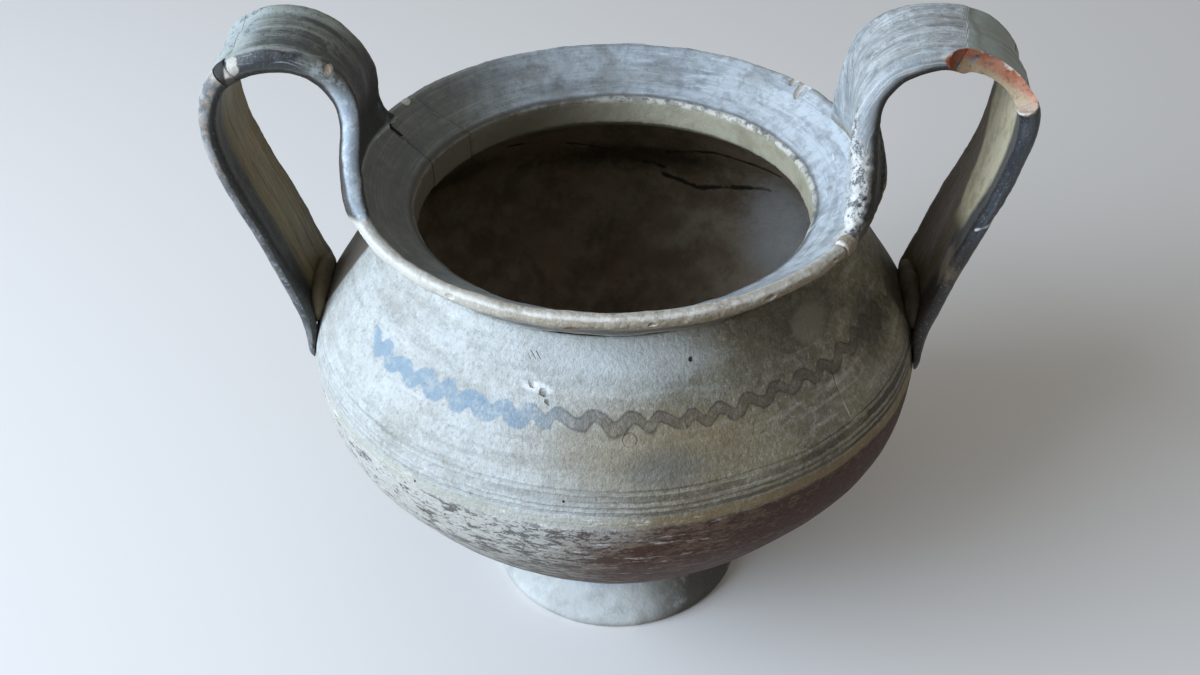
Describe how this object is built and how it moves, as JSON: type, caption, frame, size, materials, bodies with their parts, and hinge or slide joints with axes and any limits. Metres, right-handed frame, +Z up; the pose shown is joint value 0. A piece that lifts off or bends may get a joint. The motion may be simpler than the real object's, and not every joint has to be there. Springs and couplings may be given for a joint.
{
  "type": "two-handled footed cup",
  "caption": "Footed clay cup with a round belly, a flaring rim and tall strap handles that loop above the mouth, rebuilt from fragments with plaster fills.",
  "frame": {"origin": "centre of the circle that the foot rests on, at the ground", "axes": "+Z up along the wheel axis, +X towards the handle on the viewer's right, +Y away from the viewer"},
  "size_m": [0.1843, 0.1508, 0.1615],
  "materials": {
    "slipped_clay": "worn matt clay slip, grey to buff",
    "dark_slipped_clay": "dark blue-grey clay slip with a low sheen",
    "bare_clay": "bare fired clay, matt",
    "plaster": "white filling plaster, matt"
  },
  "bodies": {
    "root": {"foot": "bare_clay", "bowl": "slipped_clay", "foot_luting": "bare_clay", "neck_luting": "bare_clay", "rim": "slipped_clay", "rim_sherd": "slipped_clay", "rim_fill": "plaster", "left_handle_upper": "dark_slipped_clay", "left_handle_lower": "dark_slipped_clay", "left_handle_fill": "plaster", "left_handle_wad": "bare_clay", "right_handle_upper": "dark_slipped_clay", "right_handle_crown": "dark_slipped_clay", "right_handle_fill": "plaster", "right_handle_lower": "dark_slipped_clay", "right_handle_wad": "bare_clay"}
  },
  "joints": []
}
